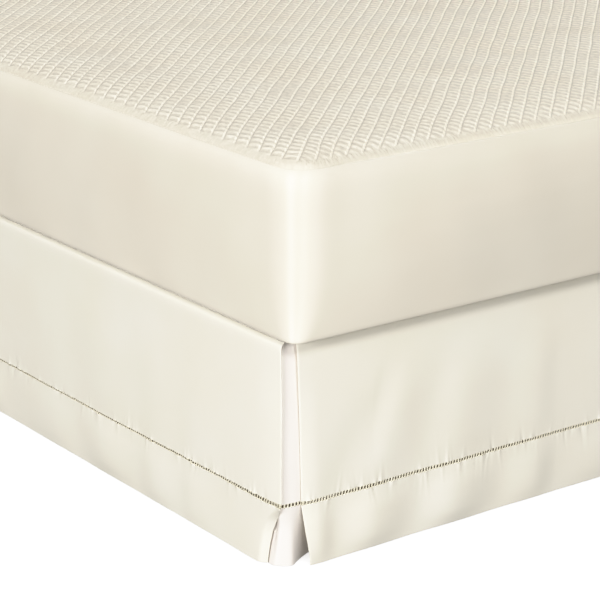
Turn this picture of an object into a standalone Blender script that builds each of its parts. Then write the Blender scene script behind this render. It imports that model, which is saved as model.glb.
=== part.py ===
"""Three-sided tailored bed skirt with split corners, on a plain queen bed.

Metres, +Z up. The origin is at floor level under the middle of the whole object.
+Y runs from the foot of the bed to its head, +X across it. The cloth hangs on the
two long sides and the foot, and the head is open.
"""
import math

import bmesh
import bpy
from mathutils import Vector

# Bed, in plan
SPRING_WIDTH = 1.510
SPRING_LENGTH = 2.020
SPRING_CORNER = 0.008
MATTRESS_WIDTH = 1.524
MATTRESS_LENGTH = 2.032
FALL_STANDOFF = 0.011      # from the box spring's face out to the cloth's straight fall
MATTRESS_SIDE_SHIFT = 0.008    # how far the mattress lies inside the left fall
MATTRESS_FOOT_OVERHANG = 0.021  # how far it lies outside the foot fall

# Heights
DROP = 0.381               # floor to the top of the box spring
SPRING_BOTTOM = 0.178
HEM_CLEARANCE = 0.003      # lower edge of the cloth above the floor
HEM_DEPTH = 0.106          # drawn-thread line above the lower edge
CONTACT_GAP = 0.0003

# Cloth
CLOTH = 0.0015
DECK_RIM = 0.0036          # deck past the box spring's face
SHOULDER = 0.012           # depth over which the cloth swings out from the deck's rim
RIPPLE = 0.0022            # soft folds at the lower edge, each way
RIPPLE_GROWTH = 1.5
SLOW_RATIO = 2.45
SLOW_SHARE = 0.35
COLUMN_STEP = 0.028
FIRST_STEP = 0.006
STEP_GROWTH = 1.35

# Soft folds of each panel: distance from the split corner to the first crest, and spacing
FOLDS = {
    "side_panel_left": {"crest": 0.235, "spacing": 0.135},
    "side_panel_right": {"crest": 0.190, "spacing": 0.148},
    "foot_panel": {"crest": 0.175, "spacing": 0.168},
}

# The split edges open towards the floor: depth below the deck, then each panel's edge,
# measured along its face from the corner where the two falls would meet
SPLIT_ROWS = [
    {"depth": 0.000, "side": 0.002, "foot": 0.031},
    {"depth": 0.120, "side": 0.003, "foot": 0.037},
    {"depth": 0.272, "side": 0.006, "foot": 0.042},
    {"depth": 0.310, "side": 0.020, "foot": 0.048},
    {"depth": 0.345, "side": 0.031, "foot": 0.055},
    {"depth": 0.378, "side": 0.041, "foot": 0.060},
]
HEM_FLARE = 0.004          # hem of the split end stands out at the floor
FLARE_REACH = 0.10
HEM_TUCK = 0.008           # last of the side panel's hem turns in round the corner
TUCK_REACH = 0.014

# Corner insert in plan, from behind the side panel round to behind the foot panel.
# x and y are distances inside the two falls.
INSERT_ROWS = [
    {"depth": 0.000, "plan": [(0.0074, 0.125), (0.0074, 0.080), (0.0074, 0.042), (0.0074, 0.020),
                              (0.0105, 0.0105), (0.020, 0.0074), (0.042, 0.0074),
                              (0.080, 0.0074), (0.125, 0.0074)]},
    {"depth": 0.205, "plan": [(0.0074, 0.125), (0.0074, 0.080), (0.0074, 0.042), (0.0074, 0.020),
                              (0.0105, 0.0105), (0.020, 0.0074), (0.042, 0.0074),
                              (0.080, 0.0074), (0.125, 0.0074)]},
    {"depth": 0.272, "plan": [(0.0085, 0.125), (0.0085, 0.080), (0.0082, 0.042), (0.0080, 0.022),
                              (0.0105, 0.0105), (0.022, 0.0080), (0.044, 0.0085),
                              (0.080, 0.0120), (0.125, 0.0180)]},
    {"depth": 0.378, "plan": [(0.0180, 0.120), (0.0150, 0.080), (0.0105, 0.054), (0.0100, 0.042),
                              (0.0155, 0.0300), (0.028, 0.0165), (0.053, 0.0280),
                              (0.081, 0.0430), (0.118, 0.0560)]},
]
INSERT_STEPS = 3

# Rows of every hanging piece, by depth below the deck
ROW_DEPTHS = [0.0, 0.008, 0.022, 0.055, 0.125, 0.200, 0.272, 0.310, 0.345, 0.378]

# Mattress, from its underside up: height, how far the ring lies in from the sides, corner radius
MATTRESS_RINGS = [
    {"height": 0.000, "inset": 0.012, "corner": 0.010},
    {"height": 0.003, "inset": 0.005, "corner": 0.014},
    {"height": 0.009, "inset": 0.001, "corner": 0.018},
    {"height": 0.018, "inset": 0.000, "corner": 0.022},
    {"height": 0.060, "inset": 0.000, "corner": 0.034},
    {"height": 0.120, "inset": 0.000, "corner": 0.042},
    {"height": 0.240, "inset": 0.000, "corner": 0.046},
    {"height": 0.259, "inset": 0.004, "corner": 0.048},
    {"height": 0.269, "inset": 0.012, "corner": 0.050},
    {"height": 0.277, "inset": 0.030, "corner": 0.055},
    {"height": 0.283, "inset": 0.065, "corner": 0.065},
    {"height": 0.286, "inset": 0.120, "corner": 0.080},
]
ARC_STEPS = 6

# Frame
RAIL_OFFSET = 0.620
RAIL_LENGTH = 1.900
RAIL_WIDTH = 0.060
RAIL_HEIGHT = 0.040
SLAT_WIDTH = 0.090
SLAT_THICKNESS = 0.020
SLAT_COUNT = 3
SLAT_SPREAD = 0.800
LEG_RADIUS = 0.024
LEG_SIDES = 20
SHARP_ANGLE = math.radians(40)

# The fall planes, and what follows from them. The mattress's foot and the box spring's
# head are the two ends of the whole object, so the origin is midway between them.
FALL_X = SPRING_WIDTH / 2 + FALL_STANDOFF
TOTAL_LENGTH = MATTRESS_FOOT_OVERHANG + FALL_STANDOFF + SPRING_LENGTH
FALL_Y = -TOTAL_LENGTH / 2 + MATTRESS_FOOT_OVERHANG
SPRING_FOOT = FALL_Y + FALL_STANDOFF
SPRING_HEAD = SPRING_FOOT + SPRING_LENGTH
SPRING_MID = (SPRING_FOOT + SPRING_HEAD) / 2
CLOTH_TOP = DROP + CLOTH + CONTACT_GAP

COLOURS = {
    "skirt_sateen": ((0.82, 0.78, 0.68), 0.55),
    "deck_cloth": ((0.80, 0.77, 0.70), 0.85),
    "mattress_cover": ((0.79, 0.73, 0.61), 0.50),
    "spring_cover": ((0.74, 0.71, 0.64), 0.80),
    "frame_wood": ((0.45, 0.33, 0.22), 0.60),
}


def clear_scene():
    for old in list(bpy.data.objects):
        bpy.data.objects.remove(old, do_unlink=True)


def make_material(name):
    colour, roughness = COLOURS[name]
    material = bpy.data.materials.new(name)
    material.use_nodes = True
    shader = material.node_tree.nodes["Principled BSDF"]
    shader.inputs["Base Color"].default_value = (*colour, 1.0)
    shader.inputs["Roughness"].default_value = roughness
    shader.inputs["Metallic"].default_value = 0.0
    return material


def add_part(name, mesh, material):
    part = bpy.data.objects.new(name, mesh)
    part.data.materials.append(material)
    bpy.data.collections["bed_skirt"].objects.link(part)
    return part


def mesh_from(name, build):
    """A new mesh from a bmesh that build fills."""
    mesh = bpy.data.meshes.new(name)
    work = bmesh.new()
    build(work)
    work.to_mesh(mesh)
    work.free()
    return mesh


def lerp(a, b, share):
    return a + (b - a) * share


def smooth(share):
    share = min(max(share, 0.0), 1.0)
    return share * share * (3 - 2 * share)


def read_rows(rows, column, depth):
    """A column of a depth table, read at any depth."""
    for above, below in zip(rows, rows[1:]):
        if depth <= below["depth"]:
            share = (depth - above["depth"]) / (below["depth"] - above["depth"])
            return lerp(above[column], below[column], max(share, 0.0))
    return rows[-1][column]


def hem_share(depth):
    """0 down to the drawn-thread line, 1 at the lower edge."""
    stitch_depth = DROP - HEM_CLEARANCE - HEM_DEPTH
    return smooth((depth - stitch_depth) / HEM_DEPTH)


def height_at(depth):
    """Height above the floor; the first row is flush with the deck's upper face."""
    return CLOTH_TOP - CONTACT_GAP if depth == 0.0 else DROP - depth


def fall(depth, along, folds):
    """How far the cloth's outer face stands out from its straight fall."""
    shoulder = (DECK_RIM + CONTACT_GAP + CLOTH - FALL_STANDOFF) * math.exp(-depth / SHOULDER)
    phase = 2 * math.pi * (along - folds["crest"]) / folds["spacing"]
    wave = (math.cos(phase) + SLOW_SHARE * math.cos(phase / SLOW_RATIO)) / (1 + SLOW_SHARE)
    return shoulder + RIPPLE * wave * (depth / DROP) ** RIPPLE_GROWTH


def split_end(depth, gap, tuck):
    """What the split end adds, at a distance gap from its edge."""
    flare = HEM_FLARE * math.exp(-gap / FLARE_REACH)
    turn_in = tuck * smooth(1 - gap / TUCK_REACH)
    return hem_share(depth) * (flare - turn_in)


def column_gaps(length, both_ends):
    """Distances along a panel, close together at a split end."""
    gaps = [0.0]
    step = FIRST_STEP
    reach = length / 2 if both_ends else length
    while gaps[-1] + step < reach - step / 2:
        gaps.append(gaps[-1] + step)
        step = min(step * STEP_GROWTH, COLUMN_STEP)
    gaps.append(reach)
    if both_ends:
        gaps += [length - gap for gap in reversed(gaps[:-1])]
    return gaps


def column_shares(length, both_ends):
    return [gap / length for gap in column_gaps(length, both_ends)]


def cloth_sheet(name, grid, material):
    """An open surface of points, a row for each depth, thickened inwards."""
    def build(work):
        rows = [[work.verts.new(point) for point in row] for row in grid]
        for upper, lower in zip(rows, rows[1:]):
            for i in range(len(upper) - 1):
                work.faces.new((lower[i], lower[i + 1], upper[i + 1], upper[i]))

    sheet = add_part(name, mesh_from(name, build), material)
    sheet.data.shade_smooth()
    thicken = sheet.modifiers.new("thickness", "SOLIDIFY")
    thicken.thickness = CLOTH
    thicken.offset = -1.0
    return sheet


def foot_panel(material):
    folds = FOLDS["foot_panel"]
    grid = []
    for depth in ROW_DEPTHS:
        edge = read_rows(SPLIT_ROWS, "foot", depth)
        length = 2 * (FALL_X - edge)
        row = []
        for share in column_shares(2 * FALL_X, True):
            gap = share * length
            along = edge + gap
            near = min(gap, length - gap)
            out = fall(depth, along, folds) + split_end(depth, near, 0.0)
            row.append((-FALL_X + along, FALL_Y - out, height_at(depth)))
        grid.append(row)
    return cloth_sheet("foot_panel", grid, material)


def side_panel(name, side, material):
    """side is -1 for the left of the bed, seen from its foot, and 1 for the right."""
    folds = FOLDS[name]
    full = SPRING_HEAD - FALL_Y
    grid = []
    for depth in ROW_DEPTHS:
        edge = read_rows(SPLIT_ROWS, "side", depth)
        row = []
        for share in column_shares(full, False):
            gap = share * (full - edge)
            along = edge + gap
            out = fall(depth, along, folds) + split_end(depth, gap, HEM_TUCK)
            row.append((side * (FALL_X + out), FALL_Y + along, height_at(depth)))
        grid.append(row if side > 0 else row[::-1])
    return cloth_sheet(name, grid, material)


def curve_through(points, steps):
    """Points on a smooth curve that passes through each of the given ones."""
    ends = [2 * points[0] - points[1]] + points + [2 * points[-1] - points[-2]]
    curve = []
    for a, b, c, d in zip(ends, ends[1:], ends[2:], ends[3:]):
        for i in range(steps):
            t = i / steps
            curve.append(0.5 * (2 * b + (c - a) * t + (2 * a - 5 * b + 4 * c - d) * t ** 2
                                + (3 * b - a - 3 * c + d) * t ** 3))
    return curve + [points[-1]]


def insert_plan(depth):
    """The insert's outer face at one depth, between the table's rows."""
    for above, below in zip(INSERT_ROWS, INSERT_ROWS[1:]):
        if depth <= below["depth"]:
            break
    share = (depth - above["depth"]) / (below["depth"] - above["depth"])
    points = [Vector(a).lerp(Vector(b), share) for a, b in zip(above["plan"], below["plan"])]
    return curve_through(points, INSERT_STEPS)


def corner_insert(name, side, material):
    """The pleat piece behind a split corner, sewn under the deck's rim."""
    grid = []
    for depth in ROW_DEPTHS:
        top = DROP - CONTACT_GAP if depth == 0.0 else height_at(depth)
        row = [(side * (FALL_X - x), FALL_Y + y, top) for x, y in insert_plan(depth)]
        grid.append(row if side < 0 else row[::-1])
    return cloth_sheet(name, grid, material)


def rounded_ring(x_low, x_high, y_low, y_high, radius, height):
    """Points of a rounded rectangle, counter-clockwise seen from above."""
    corners = [(x_high, y_high, 0), (x_low, y_high, 1), (x_low, y_low, 2), (x_high, y_low, 3)]
    ring = []
    for x, y, quarter in corners:
        centre_x = x - radius if x == x_high else x + radius
        centre_y = y - radius if y == y_high else y + radius
        for i in range(ARC_STEPS + 1):
            angle = (quarter + i / ARC_STEPS) * math.pi / 2
            ring.append((centre_x + radius * math.cos(angle),
                         centre_y + radius * math.sin(angle), height))
    return ring


def loft(name, rings, material):
    """A closed solid through rings of equal counts, capped at both ends."""
    def build(work):
        levels = [[work.verts.new(point) for point in ring] for ring in rings]
        for low, high in zip(levels, levels[1:]):
            for i in range(len(low)):
                j = (i + 1) % len(low)
                work.faces.new((low[i], low[j], high[j], high[i]))
        work.faces.new(levels[0][::-1])
        work.faces.new(levels[-1])

    part = add_part(name, mesh_from(name, build), material)
    part.data.shade_smooth()
    part.data.set_sharp_from_angle(angle=SHARP_ANGLE)
    return part


def mattress(material):
    low_x = -FALL_X + MATTRESS_SIDE_SHIFT
    low_y = FALL_Y - MATTRESS_FOOT_OVERHANG
    base = CLOTH_TOP
    rings = []
    for ring in MATTRESS_RINGS:
        inset = ring["inset"]
        rings.append(rounded_ring(low_x + inset, low_x + MATTRESS_WIDTH - inset,
                                  low_y + inset, low_y + MATTRESS_LENGTH - inset,
                                  ring["corner"], base + ring["height"]))
    return loft("mattress", rings, material)


def deck(material):
    """The flat cloth between box spring and mattress that the panels are sewn to."""
    reach = SPRING_WIDTH / 2 + DECK_RIM
    ring = rounded_ring(-reach, reach, SPRING_FOOT - DECK_RIM, SPRING_HEAD,
                        SPRING_CORNER + DECK_RIM, DROP + CONTACT_GAP + CLOTH)

    def build(work):
        work.faces.new([work.verts.new(point) for point in ring])

    sheet = add_part("deck", mesh_from("deck", build), material)
    thicken = sheet.modifiers.new("thickness", "SOLIDIFY")
    thicken.thickness = CLOTH
    thicken.offset = -1.0
    return sheet


def box(name, size, centre, material, round_edge=0.0, segments=2):
    """A block on its centre, with rounded edges where round_edge is given."""
    def build(work):
        bmesh.ops.create_cube(work, size=1.0)
        bmesh.ops.scale(work, vec=size, verts=work.verts)

    part = add_part(name, mesh_from(name, build), material)
    part.location = centre
    if round_edge:
        bevel = part.modifiers.new("rounded", "BEVEL")
        bevel.width = round_edge
        bevel.segments = segments
    return part


def box_spring(material):
    height = DROP - SPRING_BOTTOM
    return box("box_spring", (SPRING_WIDTH, SPRING_LENGTH, height),
               (0.0, SPRING_MID, SPRING_BOTTOM + height / 2), material, SPRING_CORNER, 3)


def frame_rails(material):
    top = SPRING_BOTTOM - CONTACT_GAP
    for label, side in (("left", -1), ("right", 1)):
        box(f"rail_{label}", (RAIL_WIDTH, RAIL_LENGTH, RAIL_HEIGHT),
            (side * RAIL_OFFSET, SPRING_MID, top - RAIL_HEIGHT / 2), material, 0.003)


def frame_slats(material):
    span = 2 * (RAIL_OFFSET - RAIL_WIDTH / 2 - CONTACT_GAP)
    top = SPRING_BOTTOM - CONTACT_GAP
    for i in range(SLAT_COUNT):
        y = SPRING_MID + SLAT_SPREAD * (i - (SLAT_COUNT - 1) / 2)
        box(f"slat_{i + 1}", (span, SLAT_WIDTH, SLAT_THICKNESS),
            (0.0, y, top - SLAT_THICKNESS / 2), material)


def frame_legs(material):
    height = SPRING_BOTTOM - RAIL_HEIGHT - 2 * CONTACT_GAP

    def build(work):
        bmesh.ops.create_cone(work, cap_ends=True, segments=LEG_SIDES,
                              radius1=LEG_RADIUS, radius2=LEG_RADIUS, depth=height)

    for label, side in (("left", -1), ("right", 1)):
        for i in range(SLAT_COUNT):
            name = f"leg_{label}_{i + 1}"
            leg = add_part(name, mesh_from(name, build), material)
            y = SPRING_MID + SLAT_SPREAD * (i - (SLAT_COUNT - 1) / 2)
            leg.location = (side * RAIL_OFFSET, y, height / 2)
            leg.data.shade_smooth()
            leg.data.set_sharp_from_angle(angle=SHARP_ANGLE)


def main():
    clear_scene()
    collection = bpy.data.collections.new("bed_skirt")
    bpy.context.scene.collection.children.link(collection)
    materials = {name: make_material(name) for name in COLOURS}

    frame_legs(materials["frame_wood"])
    frame_rails(materials["frame_wood"])
    frame_slats(materials["frame_wood"])
    box_spring(materials["spring_cover"])
    deck(materials["deck_cloth"])
    mattress(materials["mattress_cover"])

    foot_panel(materials["skirt_sateen"])
    side_panel("side_panel_left", -1, materials["skirt_sateen"])
    side_panel("side_panel_right", 1, materials["skirt_sateen"])
    corner_insert("corner_insert_left", -1, materials["skirt_sateen"])
    corner_insert("corner_insert_right", 1, materials["skirt_sateen"])


main()
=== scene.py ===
"""Finishes of a three-sided tailored bed skirt with drawn-thread hems, on its plain queen bed.

Metres, +Z up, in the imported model's frame: the origin is at floor level under the middle
of the object, and +Y runs from the foot of the bed to its head.
"""
from collections import namedtuple
from math import cos, exp, hypot, pi, radians, sin, sqrt

import bmesh
import bpy
import numpy as np
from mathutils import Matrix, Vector


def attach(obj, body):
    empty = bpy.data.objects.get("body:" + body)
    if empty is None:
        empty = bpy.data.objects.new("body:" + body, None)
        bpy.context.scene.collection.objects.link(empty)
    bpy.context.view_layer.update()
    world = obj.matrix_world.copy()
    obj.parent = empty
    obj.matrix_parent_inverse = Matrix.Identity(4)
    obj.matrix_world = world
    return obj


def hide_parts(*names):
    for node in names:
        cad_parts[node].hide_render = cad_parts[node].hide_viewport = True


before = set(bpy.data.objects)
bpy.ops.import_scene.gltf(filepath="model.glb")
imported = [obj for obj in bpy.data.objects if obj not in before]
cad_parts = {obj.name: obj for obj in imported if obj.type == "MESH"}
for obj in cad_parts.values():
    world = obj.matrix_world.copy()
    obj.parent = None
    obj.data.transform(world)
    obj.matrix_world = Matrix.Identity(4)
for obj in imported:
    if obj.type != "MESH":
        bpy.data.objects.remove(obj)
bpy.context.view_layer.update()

TURN = 2 * pi
MILLIMETRE = 0.001


def table(columns, *rows):
    """A list of rows, each a dictionary with the columns' names as its keys."""
    return [dict(zip(columns.split(), row)) for row in rows]


# Bed and skirt, as the model has them
SPRING_WIDTH = 1.51
SPRING_LENGTH = 2.02
SPRING_CORNER = 0.008
MATTRESS_LENGTH = 2.032
FALL_STANDOFF = 0.011
FOOT_OVERHANG = 0.021
DROP = 0.381
SPRING_BOTTOM = 0.178
HEM_CLEARANCE = 0.002
HEM_DEPTH = 0.107
CONTACT_GAP = 0.0003
DECK_CLOTH = 0.0015
DECK_RIM = 0.0036
SHOULDER = 0.0028  # depth over which the cloth swings out to its fall

FALL_X = SPRING_WIDTH / 2 + FALL_STANDOFF
TOTAL_LENGTH = FOOT_OVERHANG + FALL_STANDOFF + SPRING_LENGTH
FALL_Y = -TOTAL_LENGTH / 2 + FOOT_OVERHANG
SPRING_FOOT = FALL_Y + FALL_STANDOFF
SPRING_HEAD = SPRING_FOOT + SPRING_LENGTH
DECK_TOP = DROP + DECK_CLOTH
MATTRESS_BASE = DECK_TOP + CONTACT_GAP
STITCH_HEIGHT = HEM_CLEARANCE + HEM_DEPTH

# Skirt cloth
CLOTH = 0.0012
HEM_CLOTH = 0.002  # the hem is doubled
COLUMN_STEP = 0.0024
EDGE_COLUMNS = [0, 0.0006, 0.0014, 0.0026, 0.0044]
# Rows of the cloth above the drawn-thread gap, as shares of its height, and of the hem below it
UPPER_ROWS = [1.0, 0.996, 0.992, 0.986, 0.98, 0.965, 0.94, 0.9, *np.linspace(0.86, 0.22, 15),
              0.185, 0.155, 0.128, 0.104, 0.082, 0.062, 0.044, 0.028, 0.014, 0.0022, 0.0]
HEM_ROWS = [1.0, 0.994, 0.975, 0.95, 0.92, 0.89, 0.85, 0.81, 0.76, 0.7,
            *np.linspace(0.62, 0.04, 9), 0.012, 0.005, 0.0]
# Height of the drawn-thread band, from the split corner along each panel
STITCH_GAPS = {
    "left": table("at gap", (0, 0.0074), (0.06, 0.006), (0.16, 0.0044), (0.5, 0.0036)),
    "foot": table("at gap", (0, 0.0062), (0.5, 0.0056)),
    "right": table("at gap", (0, 0.0062), (0.5, 0.0056)),
}
HEM_RISE = 0.0025  # how far the left hem is deeper at the corner than in the middle
HEM_RISE_REACH = 0.9

# Soft folds of each hanging panel, from the split corner along it: places where the face stands
# farthest out and farthest in at the hem, how far out, and how far the place leans for each
# metre up. They go on past the table's end at an uneven spacing.
FOLDS = {
    "left": table(
        "at out lean",
        (0, 0, 0), (0.16, 0, -0.1), (0.248, 0.0022, -0.15), (0.285, 0.001, 0),
        (0.36, 0.0036, 0), (0.415, 0.0016, 0.05), (0.515, 0.0048, 0.1), (0.615, 0.0006, 0.1),
        (0.69, 0.0028, 0.1), (0.85, 0.0004, 0)),
    "foot": table(
        "at out lean",
        (0, 0, 0), (0.068, 0.0032, 0.02), (0.108, 0, 0.26), (0.18, 0.0058, 0.6),
        (0.27, 0, 0.3), (0.35, 0.0064, 0.18), (0.45, 0, 0.1), (0.522, 0.0036, 0.05),
        (0.575, 0, 0), (0.69, 0.0032, 0)),
    "right": table(
        "at out lean",
        (0, 0, 0), (0.105, 0, 0.2), (0.19, 0.0042, 0.3), (0.262, 0.0002, 0),
        (0.352, 0.0036, -0.2), (0.43, 0, 0)),
}
FOLD_SPACING = {"left": 0.085, "foot": 0.08, "right": 0.078}
FOLD_SEEDS = {"left": 4, "foot": 4, "right": 5}
FOLD_OUT = 0.004
# How much of a fold there is at each height
FOLD_STRENGTH = table(
    "height share",
    (0, 0.16), (0.01, 0.6), (0.024, 1.15), (0.045, 1.35), (0.07, 1.2), (0.09, 0.72),
    (0.107, 0.4), (0.111, 0.38), (0.15, 0.52), (0.24, 0.46), (0.29, 0.16), (0.33, 0))

# Small puckers either side of the drawn-thread line
PUCKER_SEED = 40
PUCKER_SPACING = 0.0055
PUCKER_SIZE = 0.0018
PUCKER_WIDTH = 0.0026
PUCKER_LENGTH = 0.0075

# Split edges: depth below the deck, then each panel's edge from the corner where the falls meet
SPLIT_ROWS = table(
    "depth side foot",
    (0, 0.002, 0.031), (0.12, 0.003, 0.037), (0.262, 0.005, 0.042), (0.276, 0.007, 0.0425),
    (0.288, 0.016, 0.044), (0.302, 0.027, 0.0455), (0.322, 0.036, 0.0475), (0.345, 0.041, 0.051),
    (0.378, 0.046, 0.056))
HEM_FLARE = 0.004  # the hem of a split end stands out at the floor
FLARE_REACH = 0.1
HEM_TUCK = 0.0075  # the end of a side panel's hem turns in round the corner
TUCK_REACH = 0.015
TUCK_RISE = 0.03

# Each panel's split edge rolls inwards: how far at each height, and over what width
EDGE_ROLLS = {
    "side": table("height roll", (0, 0.0026), (0.1, 0.004), (0.3, 0.0036), (0.375, 0.0018)),
    "foot": table("height roll", (0, 0.003), (0.1, 0.0044), (0.2, 0.0034), (0.33, 0.0006)),
}
ROLL_REACH = {"side": 0.06, "foot": 0.036}
EDGE_ROUND = 0.001
ROUND_REACH = 0.0026

# Corner insert in plan, x and y inside the two falls, from behind the side panel round to
# behind the foot panel
INSERT_FALL = [(0.0066, 0.125), (0.0066, 0.08), (0.0066, 0.042), (0.0064, 0.022),
               (0.0076, 0.0104), (0.02, 0.0076), (0.042, 0.0056), (0.08, 0.0052),
               (0.125, 0.006)]
INSERT_ROWS = table(
    "depth plan",
    (0, [(0.007, 0.125), (0.007, 0.08), (0.007, 0.042), (0.007, 0.022), (0.008, 0.0104),
            (0.02, 0.0078), (0.042, 0.0078), (0.08, 0.0078), (0.125, 0.0078)]),
    (0.016, INSERT_FALL),
    (0.205, INSERT_FALL),
    (0.272, [(0.0078, 0.125), (0.0078, 0.08), (0.0074, 0.042), (0.0072, 0.022), (0.0088, 0.0114),
            (0.022, 0.0086), (0.044, 0.0066), (0.08, 0.01), (0.125, 0.016)]),
    (0.312, [(0.0135, 0.122), (0.0135, 0.08), (0.015, 0.044), (0.0165, 0.032), (0.0125, 0.0205),
            (0.0275, 0.011), (0.047, 0.0135), (0.08, 0.0205), (0.122, 0.029)]),
    (0.378, [(0.018, 0.12), (0.015, 0.08), (0.0105, 0.052), (0.0084, 0.04), (0.012, 0.029),
            (0.0315, 0.015), (0.053, 0.0265), (0.081, 0.04), (0.118, 0.053)]))
INSERT_STEPS = 10
INSERT_AT = 0.02  # its gap is as high as the foot panel's this far from the corner

# Thread bars of the drawn-thread line, and the whipped edge above and below it
BAR_SPACING = 0.0061
BAR_WAIST = 0.0014
BAR_FOOT = 0.0017
BAR_BITE = 0.0008  # how far a bar reaches into the cloth above and below
BAR_LEAN = 0.0016
BAR_FLAT = 0.45
BAR_SHARES = (0, 0.22, 0.5, 0.78, 1.0)
WHIP_RADII = (0.000432, 0.0006)
WHIP_STEP = 0.00305
WHIP_INSET = 0.001
WHIP_FLAT = 0.8
INSERT_BITE = 0.35 * CLOTH  # the insert's threads lie this far into its cloth
THREAD_SIDES = 6

# Padded mattress: its plan, then for each ring of its side the height above its underside, the
# inset and the length of the rounded corner
PAD_WIDTH = 1.538
PAD_FOOT = FALL_Y - 0.036
PAD_HEAD = FALL_Y - FOOT_OVERHANG + MATTRESS_LENGTH
SIDE_RINGS = table(
    "height inset corner",
    (0, 0.03, 0.02), (0.003, 0.012, 0.03), (0.0048, 0.004, 0.036), (0.0062, 0.0012, 0.04),
    (0.0085, 0.0002, 0.042), (0.014, 0, 0.05), (0.05, -0.0004, 0.074), (0.11, -0.001, 0.09),
    (0.18, -0.001, 0.094), (0.24, 0, 0.098), (0.26, 0.0035, 0.098), (0.2695, 0.0085, 0.098),
    (0.2715, 0.013, 0.098), (0.27, 0.019, 0.098))
CORNER_EASE = 3  # how gently the corners' bend comes and goes
ARC_STEPS = 18
SIDE_ROW_STEP = 0.009
SIDE_COLUMN_STEP = 0.009
# Swelling of each side between its corners: foot, right, head, left
BULGES = [0.014, 0.005, 0.006, 0.003]
BULGE_REACH = 0.3
BULGE_EASE = 0.045
SIDE_FOOT = 0.03  # the side's unevenness comes in over this height, and ends at its seam
SIDE_TOP = 0.268
SEAM_TOP = 0.2705
SEAM_HOLD = 0.006
SEAM_GATHERS = 0.01
BULGE_PROFILE = table(
    "height share",
    (0, 0), (0.02, 0.13), (0.06, 0.42), (0.1, 0.68), (0.14, 0.89), (0.175, 1.0), (0.21, 0.94),
    (0.24, 0.78), (0.262, 0.58))
SEAM_INSET = 0.0105
SEAM_CORNER = 0.098
# Crown of the quilted top: distance in from its seam, height above the mattress's underside
CROWN = table(
    "in height",
    (0, 0.27), (0.004, 0.2757), (0.01, 0.2795), (0.022, 0.2828), (0.055, 0.2868), (0.11, 0.2886))
LATTICE_X = 384  # quilt lattice, half-cells across the bed
LATTICE_Y = 512
CHANNEL_CELLS = 4  # lattice rows in one sewn channel
CHANNEL_CROWN = [0, 0.74, 1.0, 0.74]  # swelling across a channel, a row at a time
PUFF = 0.0011
PAD_DEPTH = 0.006
# Unevenness of the padding: its height, the length of its waves, and how many are summed
UNEVEN = table(
    "name size scale seed count",
    ("side", 0.001, 0.16, 5, 10), ("seam", 0.00075, 0.013, 6, 16),
    ("channels", 0.25, 0.05, 11, 10), ("puckers", 0.0003, 0.011, 13, 14),
    ("top", 0.0012, 0.3, 14, 10), ("drift_x", 0.0009, 0.16, 15, 10),
    ("drift_y", 0.0009, 0.16, 16, 10))
UNEVEN_REACH = 0.03  # the top lies still at its seam and drifts freely this far in
RIBS_PER_METRE = 69.8
RIB_SLANT = 0.0067  # how far a rib leans over on its way across a channel
RIB_CURVE = 0.12  # how much a rib's place changes up the bed
RIB_PATCHES = 9.0  # to a metre, where the ribs show more or less
PATCH_SPAN = (0.3, 0.52)
RIB_FAINT = 0.35  # strength of the ribs where they show least
RIB_WAVER = 0.35
CREASE_SPAN = (0.02, 0.16)  # ribs come in between these shares of a channel from its lines
WAVE_SCALE = TURN / 20  # a wave texture's scale for one line to a metre
# Fine relief of the quilt, in millimetres
PUFF_RELIEF = 0.35
RIB_RELIEF = 1.4
PUCKER_RELIEF = 3.0
CREPE_RELIEF = 0.9
CREPE = (260, 90, 1)  # fine creases to a metre, across and up the bed
GATHERS = (190, 45, 1)  # gathers to a metre along the seam and in from it
GATHER_REACH = 0.006
# Brightness painted across a sewn channel: a pale line just before the crease, partly the pale
# sewing thread and partly a painted highlight on the crease's lit side, then painted shade in the
# crease just after it
SEWN_SHADES = table(
    "at shade",
    (0, 0.56), (0.06, 0.63), (0.13, 0.7), (0.5, 0.71), (0.82, 0.72), (0.865, 0.95),
    (0.975, 0.95), (1.0, 0.6))
# painted light on the ribs' crests, with painted shade in the hollows between them
RIB_SHADE = 0.24
FLECKS = (150, 105, 1)  # shaded creases to a metre, and how much they darken the cloth
FLECK_SHADE = 0.6
# painted shade on the band at the seam, and painted light and shade on its gathers
RIM_SHADE = 0.74
RIM_GATHER_SHADE = 0.22
SWELL_START = 0.004  # channels begin to swell this far in from the seam
QUILT_START = 0.009  # the sewn pattern comes in between these distances from the seam
QUILT_RIM = 0.017

# Satin weave: its gloss, the scales of its waves of threads and its slubs, relief in metres
SATEEN_IOR = 1.8
SATEEN_STREAK = 0.9
SATEEN_TURN = 0.25
SATEEN_SHEEN = 0.12
WEAVE = {"X": 420.0, "Y": 300.0}
SLUBS = (60, 900, 1)
SLUB_RELIEF = 0.00008
THREAD_RELIEF = 0.00002
FIBRE_RELIEF = 0.0004
# The two colours that each material drifts between
COLOURS = {
    "skirt_sateen": [(0.902, 0.856, 0.732), (0.922, 0.886, 0.778)],
    # the corner inserts' cloth: a lighter copy of the skirt sateen, painted light for the brighter
    # light that falls on them
    "skirt_sateen_insert_painted_light": [(0.995, 0.925, 0.855), (0.998, 0.94, 0.88)],
    "mattress_sateen": [(0.812, 0.752, 0.632), (0.832, 0.781, 0.666)],
    "quilted_cotton": [(0.98, 0.9, 0.75), (0.995, 0.935, 0.8)],
    "drawn_thread": [(0.82, 0.76, 0.58), (0.88, 0.83, 0.67)],
    "spring_ticking": [(0.78, 0.72, 0.58), (0.86, 0.8, 0.66)],
    "deck_muslin": [(0.8, 0.77, 0.7), (0.86, 0.83, 0.77)],
    "sawn_pine": [(0.62, 0.44, 0.26), (0.44, 0.28, 0.15)],
}
DRIFT_SPAN = (0.3, 0.7)  # part of a noise's range over which the colour changes
FLOOR_COLOUR = (0.93, 0.93, 0.925, 1)

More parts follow.
